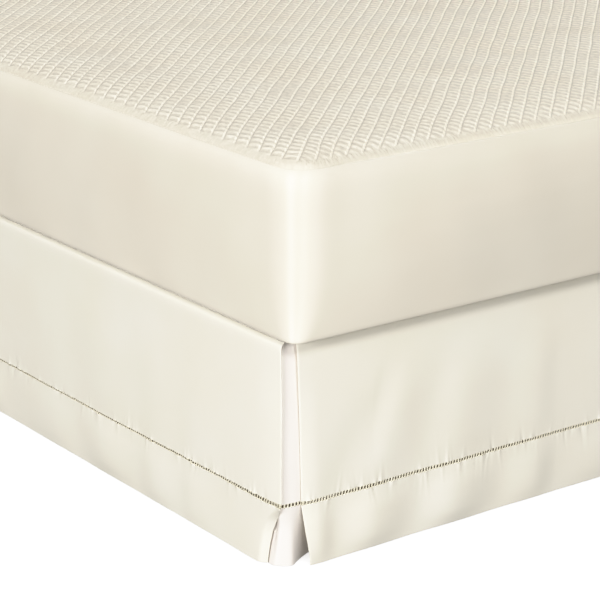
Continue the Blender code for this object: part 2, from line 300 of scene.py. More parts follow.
# Camera, at the photograph's viewing angle
CAMERA_PLACE = (-2.7162, -3.7215, 1.5334)
CAMERA_PITCH = radians(90 - 17.913)
CAMERA_HEADING = radians(-36.185)
CAMERA_LENS = 139.99
CAMERA_SENSOR = 36.0
FLOOR_SIZE = 120.0
UNDER_INSET = 0.1  # the floor out of sight under the bed starts this far inside

# Softboxes: aim, degrees from -X towards -Y, degrees up, distance, width, height, watts
BED_CORNER = (-0.45, -0.75, 0.35)
SPLIT_CORNER = (-0.72, -0.98, 0.14)
BED_MIDDLE = (0, 0, 0.35)
LIGHTS = table(
    "name aim around above away wide tall power",
    ("left_box", BED_CORNER, 20, 15, 7, 3.0, 1.4, 334),
    ("key_box", BED_CORNER, 70, 37, 7, 2.2, 1.4, 195),
    ("front_box", BED_CORNER, 100, 20, 7, 3.0, 1.4, 126),
    ("right_box", BED_MIDDLE, 183, 14, 7, 3.0, 1.4, 170),
    ("back_box", BED_CORNER, 230, 45, 7, 3.0, 3.0, 118),
    ("far_box", BED_CORNER, 310, 40, 7, 3.0, 3.0, 116),
    ("low_fill", SPLIT_CORNER, 56, 3, 0.9, 0.3, 0.15, 0.95))
WORLD_STRENGTH = 0.15
WORLD_TINT = (1.0, 0.975, 0.92)
# Highlights roll off softly above the straight part of the tone curve
TONE_WHITE = 1.3
TONE_CURVE = [(0, 0), (0.78, 0.78), (1.0, 0.925), (1.15, 0.975), (1.3, 1.0)]
FLOOR_GLOW = 0.7


# -------- small mathematics

def smooth(share):
    share = np.clip(share, 0.0, 1.0)
    return share * share * (3 - 2 * share)


def read_rows(rows, column, value):
    """A column of a table, read at any value of its first column."""
    first = next(iter(rows[0]))
    return np.interp(value, [row[first] for row in rows], [row[column] for row in rows])


def spaced(length, step):
    """Even places from 0 to length, about step apart."""
    return np.linspace(0.0, length, max(int(round(length / step)), 1) + 1)


def run_along(points):
    """Distance of each point along the line through them all."""
    steps = np.linalg.norm(np.diff(points, axis=0), axis=1)
    return np.concatenate([[0], np.cumsum(steps)])


def uneven(name, u, v):
    """Smooth noise of a named size, as a seeded sum of waves."""
    row = next(row for row in UNEVEN if row["name"] == name)
    random = np.random.default_rng(row["seed"])
    total = np.zeros(np.broadcast(u, v).shape)
    for _ in range(row["count"]):
        angle = random.uniform(0, TURN)
        pace = TURN / (row["scale"] * random.uniform(0.7, 1.6))
        shift = random.uniform(0, TURN)
        total += np.sin(pace * (u * cos(angle) + v * sin(angle)) + shift)
    return row["size"] * total * sqrt(2.0 / row["count"]) / 1.6


# -------- meshes

def add_object(name, data):
    thing = bpy.data.objects.new(name, data)
    bpy.context.scene.collection.objects.link(thing)
    return thing


def add_piece(name, points, faces, uvs=None):
    """An object of points and faces, shaded smooth; uvs has a pair for each point, in metres."""
    mesh = bpy.data.meshes.new(name)
    mesh.from_pydata(np.asarray(points).tolist(), [], faces)
    if uvs is not None:
        add_uvs(mesh, "cloth", uvs)
    mesh.shade_smooth()
    return add_object(name, mesh)


def add_uvs(mesh, name, uvs):
    layer = mesh.uv_layers.new(name=name)
    corners = np.zeros(len(mesh.loops), np.int32)
    mesh.loops.foreach_get("vertex_index", corners)
    layer.data.foreach_set("uv", np.asarray(uvs)[corners].astype(np.float32).ravel())


def grid_faces(rows, columns, start=0, wrap=False):
    """Quads of a grid of points; each row runs along, and rows go downwards."""
    faces = []
    for r in range(rows - 1):
        for c in range(columns if wrap else columns - 1):
            d = (c + 1) % columns
            low = start + (r + 1) * columns
            high = start + r * columns
            faces.append((low + c, low + d, high + d, high + c))
    return faces


def thicken(piece, thickness, thin_share=1.0, group=""):
    """Thickness behind the face; outside the group it is only thin_share of it."""
    solid = piece.modifiers.new("thickness", "SOLIDIFY")
    solid.thickness = thickness
    solid.offset = -1.0
    if group:
        solid.vertex_group = group
        solid.thickness_vertex_group = thin_share


def finish_piece(piece, material, slot, *nodes):
    piece.data.materials.append(material)
    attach(piece, "root")
    if nodes:
        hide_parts(*nodes)


# -------- hanging cloth

# A hanging panel: its side of the bed (-1 left, 1 right, 0 foot), its column of the split tables,
# how many of its ends are split, its length, and how far its split hem tucks in
Panel = namedtuple("Panel", "name side column splits length tuck")


def face_points(panel, along, out, height):
    """Points of a panel's face; the foot panel runs across the bed, the others up it."""
    x, y = panel.side * (FALL_X + out), FALL_Y + along
    if panel.side == 0:
        x, y = along - FALL_X, FALL_Y - out
    return np.stack([x, y, height], -1)


def panel_columns(panel):
    """Columns along a panel as shares, closer together at its split ends."""
    start = np.array(EDGE_COLUMNS)
    end = panel.length - (start[::-1] if panel.splits == 2 else np.zeros(1))
    first = start[-1] + COLUMN_STEP
    last = panel.length - COLUMN_STEP * panel.splits
    middle = first + spaced(last - first, COLUMN_STEP)
    return np.concatenate([start, middle, end]) / panel.length


def stitch_height(along, name):
    """Height of the drawn-thread line; the left hem runs slightly out of level."""
    if name != "left":
        return np.full_like(along, STITCH_HEIGHT)
    share = np.clip(along / HEM_RISE_REACH, 0, 1)
    return STITCH_HEIGHT + HEM_RISE * np.cos(pi * share)


def row_heights(along, name):
    """Height grids of the cloth above the drawn-thread gap and of the hem below it."""
    stitch = stitch_height(along, name)
    half_gap = read_rows(STITCH_GAPS[name], "gap", along) / 2
    high = stitch + half_gap + np.array(UPPER_ROWS)[:, None] * (DECK_TOP - stitch - half_gap)
    low = HEM_CLEARANCE + np.array(HEM_ROWS)[:, None] * (stitch - half_gap - HEM_CLEARANCE)
    return high, low


def all_folds(panel):
    """The panel's own folds, carried on past its far end at an uneven spacing."""
    folds = list(FOLDS[panel.name])
    random = np.random.default_rng(FOLD_SEEDS[panel.name])
    while folds[-1]["at"] < panel.length:
        out = FOLD_OUT * random.uniform(0.6, 1.1) if folds[-1]["out"] < 0.5 * FOLD_OUT else 0.0
        step = FOLD_SPACING[panel.name] * random.uniform(0.8, 1.25)
        folds.append({"at": folds[-1]["at"] + step, "out": out, "lean": random.uniform(-0.3, 0.3)})
    return folds


def fold_relief(panel, along, height):
    """The soft folds: strongest through the hem, dying out high above the stitch line."""
    folds = all_folds(panel)
    above = np.maximum(height - STITCH_HEIGHT, 0)
    at = along - read_rows(folds, "lean", along) * above
    starts = np.array([fold["at"] for fold in folds])
    outs = np.array([fold["out"] for fold in folds])
    which = np.clip(np.searchsorted(starts, at) - 1, 0, len(folds) - 2)
    share = smooth((at - starts[which]) / (starts[which + 1] - starts[which]))
    total = outs[which] + (outs[which + 1] - outs[which]) * share
    return total * read_rows(FOLD_STRENGTH, "share", height)


def pucker_relief(panel, along, height):
    """Short gathers that the drawn-thread stitching draws into the cloth, above and below it."""
    random = np.random.default_rng(PUCKER_SEED + FOLD_SEEDS[panel.name])
    total = np.zeros_like(along)
    away = height - stitch_height(along, panel.name)
    for _ in range(int(panel.length / PUCKER_SPACING)):
        at = random.uniform(0, panel.length)
        side = random.choice((-1, 1))
        reach = PUCKER_LENGTH * random.uniform(0.5, 2.2)
        width = PUCKER_WIDTH * random.uniform(0.7, 1.5)
        size = PUCKER_SIZE * random.uniform(-1, 1.3)
        lean = random.uniform(-0.25, 0.25)
        near = np.abs(along - at) < 4 * width + 0.25 * reach
        if not near.any():
            continue
        distance = np.maximum(away[near] * side, 0)
        shape = np.exp(-((along[near] - at - lean * distance) / width) ** 2)
        shape = shape * np.exp(-distance / reach) * (away[near] * side > 0)
        total[near] += size * shape
    return total


def shoulder(height):
    """The cloth swings out from the deck's rim to its straight fall."""
    depth = np.maximum(DROP - height, 0)
    return (DECK_RIM + CONTACT_GAP + DECK_CLOTH - FALL_STANDOFF) * np.exp(-depth / SHOULDER)


def split_end(panel, height, gap):
    """Near a split edge the hem flares a little, and its last stretch may tuck in."""
    below = STITCH_HEIGHT - height
    flare = HEM_FLARE * np.exp(-gap / FLARE_REACH) * smooth(below / HEM_DEPTH)
    return flare - panel.tuck * smooth(1 - gap / TUCK_REACH) * smooth(below / TUCK_RISE)


def panel_surface(panel, heights, shares):
    """Distances along and out of a panel's face at each height and column."""
    edge = read_rows(SPLIT_ROWS, panel.column, DROP - heights)
    run = panel.length - panel.splits * edge
    gap = shares[None, :] * run
    along = edge + gap
    near = np.minimum(gap, run - gap) if panel.splits == 2 else gap
    out = shoulder(heights) + fold_relief(panel, along, heights)
    out += pucker_relief(panel, along, heights)
    out += split_end(panel, heights, near)
    roll = read_rows(EDGE_ROLLS[panel.column], "roll", heights)
    out -= roll * np.clip(1 - near / ROLL_REACH[panel.column], 0, 1) ** 2
    out -= EDGE_ROUND * np.clip(1 - near / ROUND_REACH, 0, 1) ** 2
    return along, out


def hanging_panel(panel):
    """A panel's upper cloth and its hem, apart at the drawn-thread line."""
    shares = panel_columns(panel)
    grids = row_heights(shares * panel.length, panel.name)
    points, uvs, faces = [], [], []
    count = 0
    for heights in grids:
        along, out = panel_surface(panel, heights, shares)
        points.append(face_points(panel, along, out, heights).reshape(-1, 3))
        uvs.append(np.stack([along, heights], -1).reshape(-1, 2))
        faces += grid_faces(len(heights), len(shares), count)
        count += heights.size
    piece = add_piece(f"{panel.name}_fall", np.concatenate(points), faces, np.concatenate(uvs))
    hem = piece.vertex_groups.new(name="hem")
    hem.add(list(range(grids[0].size, count)), 1.0, "REPLACE")
    return piece


def catmull_rom(points, steps):
    """Points on a smooth curve through each of the given ones."""
    points = [np.array(p) for p in points]
    ends = [2 * points[0] - points[1]] + points + [2 * points[-1] - points[-2]]
    curve = []
    for a, b, c, d in zip(ends, ends[1:], ends[2:], ends[3:]):
        for i in range(steps):
            t = i / steps
            curve.append(0.5 * (2 * b + (c - a) * t + (2 * a - 5 * b + 4 * c - d) * t ** 2
                                + (3 * b - a - 3 * c + d) * t ** 3))
    return np.array(curve + [points[-1]])


def insert_plan(depth):
    """The insert's outer face at one depth, between the table's rows."""
    depths = [row["depth"] for row in INSERT_ROWS]
    plans = np.array([row["plan"] for row in INSERT_ROWS])
    points = [[np.interp(depth, depths, plans[:, i, axis]) for axis in (0, 1)]
              for i in range(plans.shape[1])]
    return catmull_rom(points, INSERT_STEPS)


def corner_insert(name, side):
    """The pleat piece behind a split corner, with its own hem and drawn-thread line."""
    points, uvs, faces = [], [], []
    for heights in row_heights(np.array([INSERT_AT]), "foot"):
        start = len(points)
        for height in heights[:, 0]:
            plan = insert_plan(DROP - min(height, DROP))
            top = min(height, DROP - CONTACT_GAP)
            points += [(side * (FALL_X - x), FALL_Y + y, top) for x, y in plan]
            uvs += [(run, height) for run in run_along(plan)]
        faces += grid_faces(len(heights), len(plan), start)
    return add_piece(name, points, faces, uvs)


# -------- drawn threads

def add_tube(points, faces, centres, radii, across, out):
    """Adds a closed tube through the centres; across and out span each of its rings."""
    ring = [TURN * i / THREAD_SIDES for i in range(THREAD_SIDES)]
    base = len(points)
    for centre, radius, side, front in zip(centres, radii, across, out):
        points += [centre + radius * (cos(a) * side + sin(a) * front) for a in ring]
    for level in range(len(centres) - 1):
        a = base + level * THREAD_SIDES
        b = a + THREAD_SIDES
        for i in range(THREAD_SIDES):
            j = (i + 1) % THREAD_SIDES
            faces.append((a + i, a + j, b + j, b + i))
    faces.append(tuple(base + i for i in range(THREAD_SIDES)))
    faces.append(tuple(len(points) - 1 - i for i in range(THREAD_SIDES)))


def directions(points):
    """Unit vectors along a run of points that goes round the bed, and level ones out of it."""
    along = np.gradient(points, axis=0)
    along[:, 2] = 0
    along /= np.linalg.norm(along, axis=1)[:, None]
    return along, np.cross(along, (0, 0, 1))


def drawn_threads(name, low, high, edges, lean):
    """Thread bars across a drawn-thread gap, each from a point of low to one of high, and the
    whipped edges of the cloth above and below. lean shifts the bars' tops along the panel."""
    points, faces = [], []
    radii = (BAR_FOOT, BAR_FOOT, BAR_WAIST, BAR_FOOT, BAR_FOOT)
    for a, b, side, front in zip(low, high, *directions(low)):
        up = (b - a) / np.linalg.norm(b - a)
        start = a - up * BAR_BITE - side * lean / 2
        end = b + up * BAR_BITE + side * lean / 2
        centres = [start + (end - start) * share for share in BAR_SHARES]
        add_tube(points, faces, centres, radii, [side] * 5, [front * BAR_FLAT] * 5)
    for edge in edges:
        _, out = directions(edge)
        radii = [WHIP_RADII[i % 2] for i in range(len(edge))]
        up = np.array([0, 0, 1.0])
        add_tube(points, faces, edge, radii, [up] * len(edge), out * WHIP_FLAT)
    piece = add_piece(name, points, faces)
    work = bmesh.new()
    work.from_mesh(piece.data)
    bmesh.ops.recalc_face_normals(work, faces=work.faces)
    work.to_mesh(piece.data)
    work.free()
    return piece


def gap_edge(panel, shares, side):
    """Points half-way into a panel's cloth, at the lower (-1) or upper (1) edge of its gap."""
    along = shares * panel.length
    gap = read_rows(STITCH_GAPS[panel.name], "gap", along)
    heights = stitch_height(along, panel.name) + side * gap / 2
    along, out = panel_surface(panel, heights[None, :], shares)
    return face_points(panel, along, out - CLOTH / 2, heights[None, :])[0]


def panel_threads(panel):
    """Bars along a panel, on its surface at the top and the bottom of the gap."""
    bars = (np.arange(int(panel.length / BAR_SPACING)) + 0.5) * BAR_SPACING / panel.length
    whips = spaced(panel.length - 2 * WHIP_INSET, WHIP_STEP / 2) + WHIP_INSET
    low, high = [gap_edge(panel, bars, side) for side in (-1, 1)]
    edges = [gap_edge(panel, whips / panel.length, side) for side in (-1, 1)]
    lean = -BAR_LEAN if panel.side < 0 else BAR_LEAN
    return drawn_threads(f"{panel.name}_drawn_threads", low, high, edges, lean)


def insert_edge(side, end, step):
    """Points along the insert at the lower (-1) or upper (1) edge of its gap."""
    height = STITCH_HEIGHT + end * STITCH_GAPS["foot"][0]["gap"] / 2
    plan = insert_plan(DROP - height)
    run = run_along(plan)
    places = np.arange(3 * WHIP_INSET, run[-1] - WHIP_INSET, step)
    x, y = [np.interp(places, run, plan[:, axis]) + INSERT_BITE for axis in (0, 1)]
    return np.column_stack([side * (FALL_X - x), FALL_Y + y, np.full(len(x), height)])


def insert_threads(name, side):
    low, high = [insert_edge(side, end, BAR_SPACING) for end in (-1, 1)]
    count = min(len(low), len(high))
    edges = [insert_edge(side, end, WHIP_STEP / 2) for end in (-1, 1)]
    return drawn_threads(name, low[:count], high[:count], edges, BAR_LEAN)


# -------- mattress

def eased_corner(share):
    """A quarter turn whose curvature comes and goes gently, in a unit square from (1, 0) to
    (0, 1); share runs from 0 to 1 along it."""
    steps = np.linspace(0, 1, 201)
    bend = np.cumsum(np.sin(pi * steps) ** CORNER_EASE)
    heading = pi / 2 * bend / bend[-1]
    runs = [np.concatenate([[0], np.cumsum((turned[1:] + turned[:-1]) / 2)])
            for turned in (np.cos(heading), np.sin(heading))]
    run_x, run_y = [np.interp(share, steps, run / run[-1]) for run in runs]
    return 1 - run_x, run_y


def side_length(which):
    return PAD_WIDTH if which % 2 == 0 else PAD_HEAD - PAD_FOOT


def outline_places():
    """Places round the mattress: a corner's number, with 0..1 round it and 1..2 along the
    straight side after it."""
    places = []
    for which in (2, 3, 0, 1):
        places += [(which, i / ARC_STEPS) for i in range(ARC_STEPS)]
        count = int(side_length(which) / SIDE_COLUMN_STEP)
        places += [(which, 1.0 + i / count) for i in range(count)]
    return places


def outline_points(places, inset, corner):
    """Plan points of the mattress's rounded outline."""
    low_x, high_x = -PAD_WIDTH / 2 + inset, PAD_WIDTH / 2 - inset
    low_y, high_y = PAD_FOOT + inset, PAD_HEAD - inset
    ahead = np.array([(1, 0), (0, 1), (-1, 0), (0, -1)])
    corners = np.array([(low_x, low_y), (high_x, low_y), (high_x, high_y), (low_x, high_y)])
    points = []
    for which, share in places:
        if share <= 1.0:
            a, b = eased_corner(share)
            points.append(corners[which] + corner * (b * ahead[which] - a * ahead[which - 1]))
        else:
            start = corners[which] + corner * ahead[which]
            end = corners[(which + 1) % 4] - corner * ahead[which]
            points.append(start + (end - start) * (share - 1.0))
    return np.array(points)


def side_rows():
    """Ring numbers: the table's own, with shares between them where they are far apart."""
    heights = [row["height"] for row in SIDE_RINGS]
    keys = []
    for i, (a, b) in enumerate(zip(heights, heights[1:])):
        count = max(int(abs(b - a) / SIDE_ROW_STEP), 1)
        keys += [i + j / count for j in range(count)]
    return keys + [len(heights) - 1]


def ring_at(key):
    """Height, inset and corner length between the table's rows, on a smooth curve."""
    rows = [np.array(list(row.values())) for row in SIDE_RINGS]
    which = min(int(key), len(rows) - 2)
    t = key - which
    a, b, c, d = [rows[min(max(which + i, 0), len(rows) - 1)] for i in (-1, 0, 1, 2)]
    span = c[0] - b[0]
    slope_b = (c - a) / (c[0] - a[0]) * span if which > 0 and abs(c[0] - a[0]) > 1e-6 else c - b
    slope_c = (d - b) / (d[0] - b[0]) * span if abs(d[0] - b[0]) > 1e-4 else c - b
    mixed = ((2 * t ** 3 - 3 * t ** 2 + 1) * b + (t ** 3 - 2 * t ** 2 + t) * slope_b
             + (-2 * t ** 3 + 3 * t ** 2) * c + (t ** 3 - t ** 2) * slope_c)
    mixed[0] = b[0] + t * span
    return mixed


def bulge_sizes(places, corner):
    """How far the pad's side swells at each place: nothing at the corners, most in the middle."""
    half_arc = 0.8 * corner
    sizes = []
    for which, share in places:
        if share > 1:
            away = half_arc + min(share - 1, 2 - share) * side_length(which)
        else:
            away = abs(share - 0.5) * 2 * half_arc
        side = which if share > 0.5 else which - 1
        away = hypot(away, BULGE_EASE) - BULGE_EASE
        sizes.append(BULGES[side] * (1 - max(1 - away / BULGE_REACH, 0) ** 2))
    return np.array(sizes)


def side_relief(places, plan, height, corner):
    """How far the mattress's side stands out: slow waves, gathers under the seam, its swelling."""
    near_seam = exp(-max(SIDE_TOP - height, 0) / SEAM_GATHERS)
    held = smooth(height / SIDE_FOOT) * smooth((SEAM_TOP - height) / SEAM_HOLD)
    relief = uneven("side", *(plan.T + 0.6 * height)) * held
    relief = relief + uneven("seam", *plan.T) * near_seam * held
    return relief + bulge_sizes(places, corner) * read_rows(BULGE_PROFILE, "share", height)


def mattress_sides():
    """The smooth border of the mattress, closed below and under the quilted top."""
    places = outline_places()
    count = len(places)
    rings, lengths = [], None
    for height, inset, corner in map(ring_at, side_rows()):
        plan = outline_points(places, inset, corner)
        if lengths is None:
            lengths = run_along(plan)
        out = np.roll(plan, -1, 0) - np.roll(plan, 1, 0)
        out = np.stack([out[:, 1], -out[:, 0]], 1) / np.linalg.norm(out, axis=1)[:, None]
        plan = plan + out * side_relief(places, plan, height, corner)[:, None]
        rings.append(np.column_stack([plan, np.full(count, MATTRESS_BASE + height)]))
    rings = rings[::-1]
    faces = grid_faces(len(rings), count, 0, True)
    faces.append(tuple(range(count)))
    faces.append(tuple((len(rings) - 1) * count + i for i in reversed(range(count))))
    uvs = np.concatenate([np.column_stack([lengths, ring[:, 2]]) for ring in rings])
    return add_piece("mattress_border", np.concatenate(rings), faces, uvs)


def round_corner(x, y, half_x, half_y, corner):
    """Moves the points of a rectangle's corners onto rounded ones; also their distance inside
    the outline and their place along it."""
    away_x = half_x - np.abs(x)
    away_y = half_y - np.abs(y)
    a = np.clip(corner - away_x, 1e-9, None)
    b = np.clip(corner - away_y, 1e-9, None)
    in_corner = (away_x < corner) & (away_y < corner)
    reach = np.maximum(a, b)
    share = np.where(a >= b, b / a, 2 - a / b) / 2
    back, ahead = eased_corner(share)
    new_x = np.sign(x) * (half_x - corner + reach * (1 - ahead))
    new_y = np.sign(y) * (half_y - corner + reach * (1 - back))
    inside = np.where(in_corner, corner - reach, np.minimum(away_x, away_y))
    beside = np.where(away_x < away_y, away_y - corner, -0.5 * corner - away_x)
    along = np.where(in_corner, -1.5 * corner * share, beside)
    return np.where(in_corner, new_x, x), np.where(in_corner, new_y, y), inside, along


def quilt_surface(k, l):
    """Points of the quilted top at each lattice place, their distance inside its seam and their
    place along it. The sewn channels run at 45 degrees."""
    half_x = PAD_WIDTH / 2 - SEAM_INSET
    half_y = (PAD_HEAD - PAD_FOOT) / 2 - SEAM_INSET
    x = k * 2 * half_x / LATTICE_X - half_x
    y = l * 2 * half_y / LATTICE_Y - half_y
    x, y, inside, along = round_corner(x, y, half_x, half_y, SEAM_CORNER)
    crown = np.array(CHANNEL_CROWN)[(k - l) // 2 % CHANNEL_CELLS]
    sewn = smooth((inside - SWELL_START) / QUILT_RIM)
    free = smooth(inside / UNEVEN_REACH)
    lift = PUFF * crown * (1 + uneven("channels", x, y)) * sewn
    lift = lift + uneven("puckers", x, y) * smooth(inside / GATHER_REACH)
    height = read_rows(CROWN, "height", inside) + lift + uneven("top", x, y) * free
    x = x + free * uneven("drift_x", x, y)
    y = y + free * uneven("drift_y", x, y)
    top = np.column_stack([x, y + (PAD_HEAD + PAD_FOOT) / 2, MATTRESS_BASE + height])
    return top, np.column_stack([along, inside])


def quilt_faces(index):
    """Diamonds of the lattice, halved along its edges."""
    faces = []
    for i in range(LATTICE_X + 1):
        for j in range((i + 1) % 2, LATTICE_Y + 1, 2):
            around = [(i + 1, j), (i, j + 1), (i - 1, j), (i, j - 1)]
            faces.append(tuple(int(index[a, b]) for a, b in around
                               if 0 <= a <= LATTICE_X and 0 <= b <= LATTICE_Y))
    return faces


def quilted_top():
    """The quilted panel, with a short skirt of its own that closes it below its seam."""
    k, l = np.meshgrid(np.arange(LATTICE_X + 1), np.arange(LATTICE_Y + 1), indexing="ij")
    index = -np.ones(k.shape, int)
    corners = (k + l) % 2 == 0
    index[corners] = np.arange(corners.sum())
    k, l = k[corners], l[corners]
    top, edge = quilt_surface(k, l)

    rim = [(i, 0) for i in range(0, LATTICE_X, 2)]
    rim += [(LATTICE_X, j) for j in range(0, LATTICE_Y, 2)]
    rim += [(i, LATTICE_Y) for i in range(LATTICE_X, 0, -2)]
    rim += [(0, j) for j in range(LATTICE_Y, 0, -2)]
    rim = [int(index[place]) for place in rim]
    under = top[rim] - (0, 0, PAD_DEPTH)
    start, count = len(top), len(rim)
    faces = quilt_faces(index)
    faces += [(rim[i], start + i, start + (i + 1) % count, rim[(i + 1) % count])
              for i in range(count)]
    faces.append(tuple(start + i for i in reversed(range(count))))
    uvs = np.column_stack([k, l]) * (PAD_WIDTH - 2 * SEAM_INSET) / LATTICE_X
    piece = add_piece("quilted_top", np.concatenate([top, under]), faces,
                      np.concatenate([uvs, uvs[rim]]))
    add_uvs(piece.data, "rim", np.concatenate([edge, edge[rim]]))
    return piece


# -------- hidden bed

def deck_sheet():
    """The flat cloth between box spring and mattress that the panels are sewn to."""
    reach = SPRING_WIDTH / 2 + DECK_RIM
    columns = spaced(2 * reach, 0.03) - reach
    rows = SPRING_HEAD - spaced(SPRING_HEAD - SPRING_FOOT + DECK_RIM, 0.03)
    x, y = np.meshgrid(columns, rows)
    points = np.stack([x, y, np.full_like(x, DECK_TOP)], -1).reshape(-1, 3)
    return add_piece("deck_sheet", points, grid_faces(len(rows), len(columns)), points[:, :2])


def box_spring_cover():
    """A padded block with soft edges."""
    height = DROP - SPRING_BOTTOM
    work = bmesh.new()
    bmesh.ops.create_cube(work, size=1.0)
    bmesh.ops.scale(work, vec=(SPRING_WIDTH, SPRING_LENGTH, height), verts=work.verts)
    bmesh.ops.bevel(work, geom=work.edges[:], offset=SPRING_CORNER, segments=4, profile=0.5,
                    affect="EDGES")
    piece = add_piece("box_spring_cover", [], [])
    work.to_mesh(piece.data)
    work.free()
    piece.data.shade_smooth()
    piece.location = (0, (SPRING_FOOT + SPRING_HEAD) / 2, SPRING_BOTTOM + height / 2)
    return piece


# -------- materials

def plug(tree, node, sockets):
    """Gives a node's inputs their numbers and colours, or links them."""
    for name, value in sockets.items():
        if isinstance(value, bpy.types.NodeSocket):
            tree.links.new(value, node.inputs[name])
        else:
            node.inputs[name].default_value = value


def add_node(tree, kind, sockets, **attributes):
    node = tree.nodes.new("ShaderNode" + kind)
    for name, value in attributes.items():
        setattr(node, name, value)
    plug(tree, node, sockets)
    return node


def new_material(name, roughness, specular, sheen):
    material = bpy.data.materials.new(name)
    material.use_nodes = True
    tree = material.node_tree
    shader = tree.nodes["Principled BSDF"]
    plug(tree, shader, {
        "Roughness": roughness, "Specular IOR Level": specular, "Sheen Weight": sheen,
        "Sheen Roughness": 0.45})
    return material, tree, shader


def maths(tree, operation, *values):
    """A Math node on sockets or numbers."""
    return add_node(tree, "Math", dict(enumerate(values)), operation=operation).outputs[0]


def ease_between(tree, value, low, high):
    sockets = {"Value": value, "From Min": low, "From Max": high}
    node = add_node(tree, "MapRange", sockets, interpolation_type="SMOOTHSTEP")
    return node.outputs["Result"]


def uv_parts(tree, name):
    """Both numbers of a UV layer, and the two as a vector."""
    uv = add_node(tree, "UVMap", {}, uv_map=name).outputs["UV"]
    parts = add_node(tree, "SeparateXYZ", {"Vector": uv})
    return parts.outputs["X"], parts.outputs["Y"], uv


def object_coordinates(tree):
    return add_node(tree, "TexCoord", {}).outputs["Object"]


def stretched(tree, vector, scale):
    return add_node(tree, "Mapping", {"Vector": vector, "Scale": scale}).outputs["Vector"]


def noise_of(tree, vector, scale, detail=2.0):
    sockets = {"Vector": vector, "Scale": scale, "Detail": detail}
    return add_node(tree, "TexNoise", sockets).outputs["Fac"]


def wave_of(tree, vector, scale, axis, distortion=0.0):
    sockets = {"Vector": vector, "Scale": scale, "Distortion": distortion}
    node = add_node(tree, "TexWave", sockets, wave_type="BANDS", bands_direction=axis)
    return node.outputs["Fac"]


def bump(tree, height, distance, below=None):
    sockets = {"Height": height, "Strength": 1.0, "Distance": distance}
    if below is not None:
        sockets["Normal"] = below
    return add_node(tree, "Bump", sockets).outputs["Normal"]


def colour_ramp(tree, factor, stops):
    """A ramp through stops, each a place and a colour."""
    node = add_node(tree, "ValToRGB", {"Fac": factor})
    elements = node.color_ramp.elements
    for element, (place, colour) in zip(elements, (stops[0], stops[-1])):
        element.position = place
        element.color = (*colour, 1)
    for place, colour in stops[1:-1]:
        elements.new(place).color = (*colour, 1)
    return node.outputs["Color"]


def drifting(tree, name, factor, span=DRIFT_SPAN):
    """A material's colour, drifting between its two with the factor."""
    return colour_ramp(tree, factor, list(zip(span, COLOURS[name])))


def sateen(name, roughness, specular, weave=1.0):
    """Smooth woven cotton with a satin's streaked gloss: faint threads and slubs, and a slow
    drift of colour. weave is the share of its relief."""
    material, tree, shader = new_material(name, roughness, specular, SATEEN_SHEEN)
    tangent = add_node(tree, "Tangent", {}, direction_type="UV_MAP", uv_map="cloth")
    _, _, cloth = uv_parts(tree, "cloth")
    normal = bump(tree, noise_of(tree, stretched(tree, cloth, SLUBS), 1.0), SLUB_RELIEF * weave)
    for axis, threads in WEAVE.items():
        normal = bump(tree, wave_of(tree, cloth, threads, axis), THREAD_RELIEF * weave, normal)
    plug(tree, shader, {
        "IOR": SATEEN_IOR, "Anisotropic": SATEEN_STREAK, "Anisotropic Rotation": SATEEN_TURN,
        "Tangent": tangent.outputs["Tangent"], "Normal": normal,
        "Base Color": drifting(tree, name, noise_of(tree, cloth, 5.0, 3.0))})
    return material


def quilt_pattern(tree):
    """Where a point lies in its sewn channel (0..1 across it), the ribs across the channels
    (0..1), how far the sewn pattern has come in from the seam (0..1), and the seam's gathers."""
    u, v, cloth = uv_parts(tree, "cloth")
    _, inside, rim = uv_parts(tree, "rim")
    channel = 2 * CHANNEL_CELLS * (PAD_WIDTH - 2 * SEAM_INSET) / LATTICE_X
    place = maths(tree, "FRACT", maths(tree, "DIVIDE", maths(tree, "SUBTRACT", u, v), channel))
    leant = add_node(tree, "CombineXYZ", {
        "X": maths(tree, "MULTIPLY_ADD", place, -RIB_SLANT, u),
        "Y": maths(tree, "MULTIPLY", v, RIB_CURVE)}).outputs["Vector"]
    ribs = wave_of(tree, leant, WAVE_SCALE * RIBS_PER_METRE, "X", RIB_WAVER)
    patches = ease_between(tree, noise_of(tree, cloth, RIB_PATCHES), *PATCH_SPAN)
    strength = maths(tree, "MULTIPLY_ADD", patches, 1 - RIB_FAINT, RIB_FAINT)
    between = ease_between(tree, maths(tree, "PINGPONG", place, 0.5), *CREASE_SPAN)
    ribs = maths(tree, "MULTIPLY", maths(tree, "MULTIPLY", ribs, strength), between)
    gathers = noise_of(tree, stretched(tree, rim, GATHERS), 1.0, 3.0)
    return place, ribs, ease_between(tree, inside, QUILT_START, QUILT_RIM), gathers


def quilt_relief(tree, place, ribs, inner, gathers):
    """Height in millimetres: channels that swell between sewn lines, short ribs across them,
    and near the seam only gathers."""
    _, _, cloth = uv_parts(tree, "cloth")
    _, inside, _ = uv_parts(tree, "rim")
    puff = maths(tree, "MULTIPLY", place, maths(tree, "SUBTRACT", 1.0, place))
    pattern = maths(tree, "MULTIPLY", puff, 4 * PUFF_RELIEF)
    pattern = maths(tree, "MULTIPLY_ADD", ribs, RIB_RELIEF, pattern)
    outer = maths(tree, "SUBTRACT", ease_between(tree, inside, 0.0, GATHER_REACH), inner)
    total = maths(tree, "MULTIPLY", pattern, inner)
    gathered = maths(tree, "MULTIPLY", gathers, outer)
    total = maths(tree, "MULTIPLY_ADD", gathered, PUCKER_RELIEF, total)
    crepe = noise_of(tree, stretched(tree, cloth, CREPE), 1.0, 3.0)
    return maths(tree, "MULTIPLY_ADD", crepe, CREPE_RELIEF, total)


